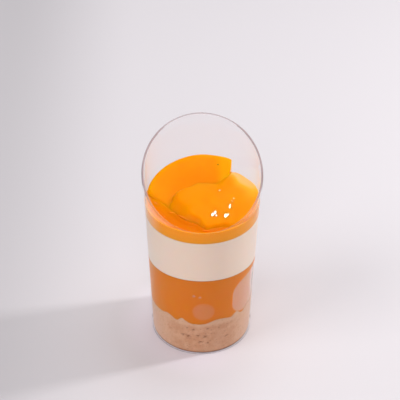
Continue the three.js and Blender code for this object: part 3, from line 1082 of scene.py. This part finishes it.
class DESSERT_OT_glaze(Operator):
    """Make the fruit glaze round the slices"""

    bl_idname = "dessert.glaze"
    bl_label = "Fruit Glaze"

    def execute(self, context):
        dessert = context.scene.dessert
        filling = dessert.filling
        fruit = []
        for name in ("front_peach_slice", "back_peach_slice"):
            mesh = bpy.data.objects[name].data
            places = [corner.co for corner in mesh.vertices]
            fruit.append(BVHTree.FromPolygons(places, [face.vertices for face in mesh.polygons]))

        def from_fruit(spot):
            """Distance of a point from the nearest slice."""
            return min(tree.find_nearest(spot)[3] for tree in fruit)

        def top(share, angle):
            """Height of the glaze, which climbs the wall and the fruit and pools at the left."""
            right, front = math.sin(angle), math.cos(angle)
            climb = filling.glaze_creep * bell(1 - share, CREEP_WIDTH)
            ripple = RIPPLE * noise.noise(Vector((share * right, share * front, 0)) * RIPPLE_CELLS)
            height = filling.glaze_top + climb + ripple
            radius = share * dessert.cup.inner(height)
            near = from_fruit(Vector((radius * right, -radius * front, height)))
            pool = bells(math.degrees(angle), POOL) * MM * bell(near, POOL_WIDTH)
            pool *= smooth_step(*POOL_FROM, share)
            return height + pool + MENISCUS * bell(near, MENISCUS_WIDTH) * (1 - share**8)

        bm = layer(dessert, lambda share, angle: filling.cream_top, top, steps=288, cuts=(2, 8, 56))
        mark = bm.verts.layers.float.new("mark")
        for corner in bm.verts:
            degrees = math.degrees(math.atan2(corner.co.x, -corner.co.y))
            corner[mark] = bells(degrees, FRUITY) * bell(from_fruit(corner.co), FRUITY_WIDTH)
        material = self.jellied(dessert.colours)
        finish_piece("fruit_glaze_layer", bm, material, "glaze", "fruit_glaze", sharp=60)
        return {"FINISHED"}

    @staticmethod
    def jellied(colours):
        """Clear wet glaze, brighter where it is thin by the wall, with light painted in as if it came
        through from above, and paler there at the left, with a painted reflection.
        """
        look = Finish("fruit glaze")
        east = look.axes[0]
        drift = look.noise(180).ramp(0.3, 0.75) * 0.2
        thin = look.outwards(*THIN_GLAZE)
        shallow = look.outwards(*SHALLOW_GLAZE) * (1 - thin)
        # Painted light where the glaze is thin by the wall, and a random drift elsewhere
        tone = look.mix(thin - drift * (1 - thin), colours.glaze, colours.glaze_thin_lit)
        # Painted reflection at the left
        tone = look.mix(thin * (1 - east.ramp(*THIN_LEFT)) * 0.6, tone, colours.glaze_pale_sheen)
        tone = look.mix(shallow * (1 - east.ramp(*SHALLOW_LEFT)) * 0.55, tone, colours.glaze_pale_sheen)
        return look.close(
            base_color=look.mix(look.attribute("mark") * 0.9, tone, colours.peach),
            roughness=0.12,
            specular_ior_level=0.04,
            subsurface_weight=0.4,
            subsurface_radius=(1, 0.35, 0.05),
            subsurface_scale=5.0 * MM,
        )


class DESSERT_OT_stage(Operator):
    """Make the table top, the lights and the camera"""

    bl_idname = "dessert.stage"
    bl_label = "Stage"

    def execute(self, context):
        scene = context.scene
        self.table(scene)
        self.room(scene)
        for name, place, size, watts in LAMPS:
            self.lamp(scene, name, place, size, watts)
        self.camera(scene)
        scene.cycles.max_bounces = 24
        scene.cycles.glossy_bounces = 16
        scene.cycles.transmission_bounces = 24
        scene.cycles.transparent_max_bounces = 24
        scene.view_settings.view_transform = "Standard"
        return {"FINISHED"}

    @staticmethod
    def table(scene):
        """A pale table top, with painted shade dimming it at the left and painted light on a patch by the
        cup's left side.
        """
        bm = bmesh.new()
        bmesh.ops.create_grid(bm, x_segments=8, y_segments=8, size=TABLE_HALF)
        mesh = bpy.data.meshes.new("table_top")
        bm.to_mesh(mesh)
        bm.free()
        look = Finish("table top")
        east = look.axes[0]
        pale = tuple(scene.dessert.colours.floor)
        lit = tuple(ratio * value for ratio, value in zip(LIT_RATIO, pale))
        paper = look.mix(look.noise(900, 2), pale, dimmed(pale, 0.985))
        # Painted shade at the left
        tone = look.mix(east.ramp(*TABLE_DIM), dimmed(pale, 0.76), paper)
        away = look.add("ShaderNodeVectorMath", {"operation": "LENGTH"}, {0: look.place}, output="Value")
        # Painted light by the cup's left side
        patch = (1 - away.ramp(*TABLE_LIT)) * (1 - east.ramp(*TABLE_LIT_LEFT))
        mesh.materials.append(look.close(base_color=look.mix(patch * 0.85, tone, lit), roughness=0.8))
        floor = bpy.data.objects.new("table_top", mesh)
        scene.collection.objects.link(floor)

    @staticmethod
    def room(scene):
        """Soft light from all round, brighter where it is seen than where it lights."""
        look = Finish("soft room", "worlds")
        strength = ROOM_LIGHT + look.either_ray("Camera", "Transmission") * (ROOM_SEEN - ROOM_LIGHT)
        light = look.add("ShaderNodeBackground", None, {"Color": ROOM_COLOUR, "Strength": strength})
        look.add("ShaderNodeOutputWorld", None, {"Surface": light})
        scene.world = look.owner

    @staticmethod
    def lamp(scene, name, place, size, watts):
        """A soft square lamp."""
        light = bpy.data.lights.new(name, "AREA")
        light.size = size
        light.energy = watts
        lamp = bpy.data.objects.new(name, light)
        lamp.location = place
        lamp.rotation_euler = (LAMP_AIM - Vector(place)).to_track_quat("-Z", "Y").to_euler()
        scene.collection.objects.link(lamp)

    @staticmethod
    def camera(scene):
        """The camera, turned by its roll."""
        lens = bpy.data.cameras.new("camera")
        lens.lens = 108
        lens.sensor_width = 36
        eye = bpy.data.objects.new("camera", lens)
        eye.location = CAMERA_PLACE
        turn = CAMERA_AIM.to_track_quat("-Z", "Y").to_matrix() @ Matrix.Rotation(CAMERA_ROLL, 3, "Z")
        eye.rotation_euler = turn.to_euler()
        scene.collection.objects.link(eye)
        scene.camera = eye


STEPS = (
    DESSERT_OT_stage,
    DESSERT_OT_crumb,
    DESSERT_OT_jelly,
    DESSERT_OT_cream,
    DESSERT_OT_slices,
    DESSERT_OT_glaze,
    DESSERT_OT_cup,
)


class DESSERT_PT_sidebar(Panel):
    """Sizes and pieces of the dessert"""

    bl_idname = "DESSERT_PT_sidebar"
    bl_label = "Peach Cheesecake Cup"
    bl_space_type = "VIEW_3D"
    bl_region_type = "UI"
    bl_category = "Dessert"

    def draw(self, context):
        for group in ("cup", "filling", "slices", "colours"):
            box = self.layout.box()
            box.label(text=group.title())
            settings = getattr(context.scene.dessert, group)
            for key in settings.bl_rna.properties.keys():
                if key not in {"rna_type", "name"}:
                    box.prop(settings, key)
        for step in STEPS:
            self.layout.operator(step.bl_idname)


CLASSES = (CupSizes, FillingSizes, SliceSizes, Colours, Dessert, *STEPS, DESSERT_PT_sidebar)


def register():
    """Adds the settings, the operators and the sidebar."""
    for cls in CLASSES:
        bpy.utils.register_class(cls)
    bpy.types.Scene.dessert = PointerProperty(
        type=Dessert, name="Dessert", description="The dessert's settings"
    )


def unregister():
    """Takes the settings, the operators and the sidebar away."""
    del bpy.types.Scene.dessert
    for cls in reversed(CLASSES):
        bpy.utils.unregister_class(cls)


def main():
    """Builds the whole dessert."""
    register()
    for step in STEPS:
        group, name = step.bl_idname.split(".")
        getattr(getattr(bpy.ops, group), name)()
    bpy.context.view_layer.update()


if __name__ == "__main__":
    main()
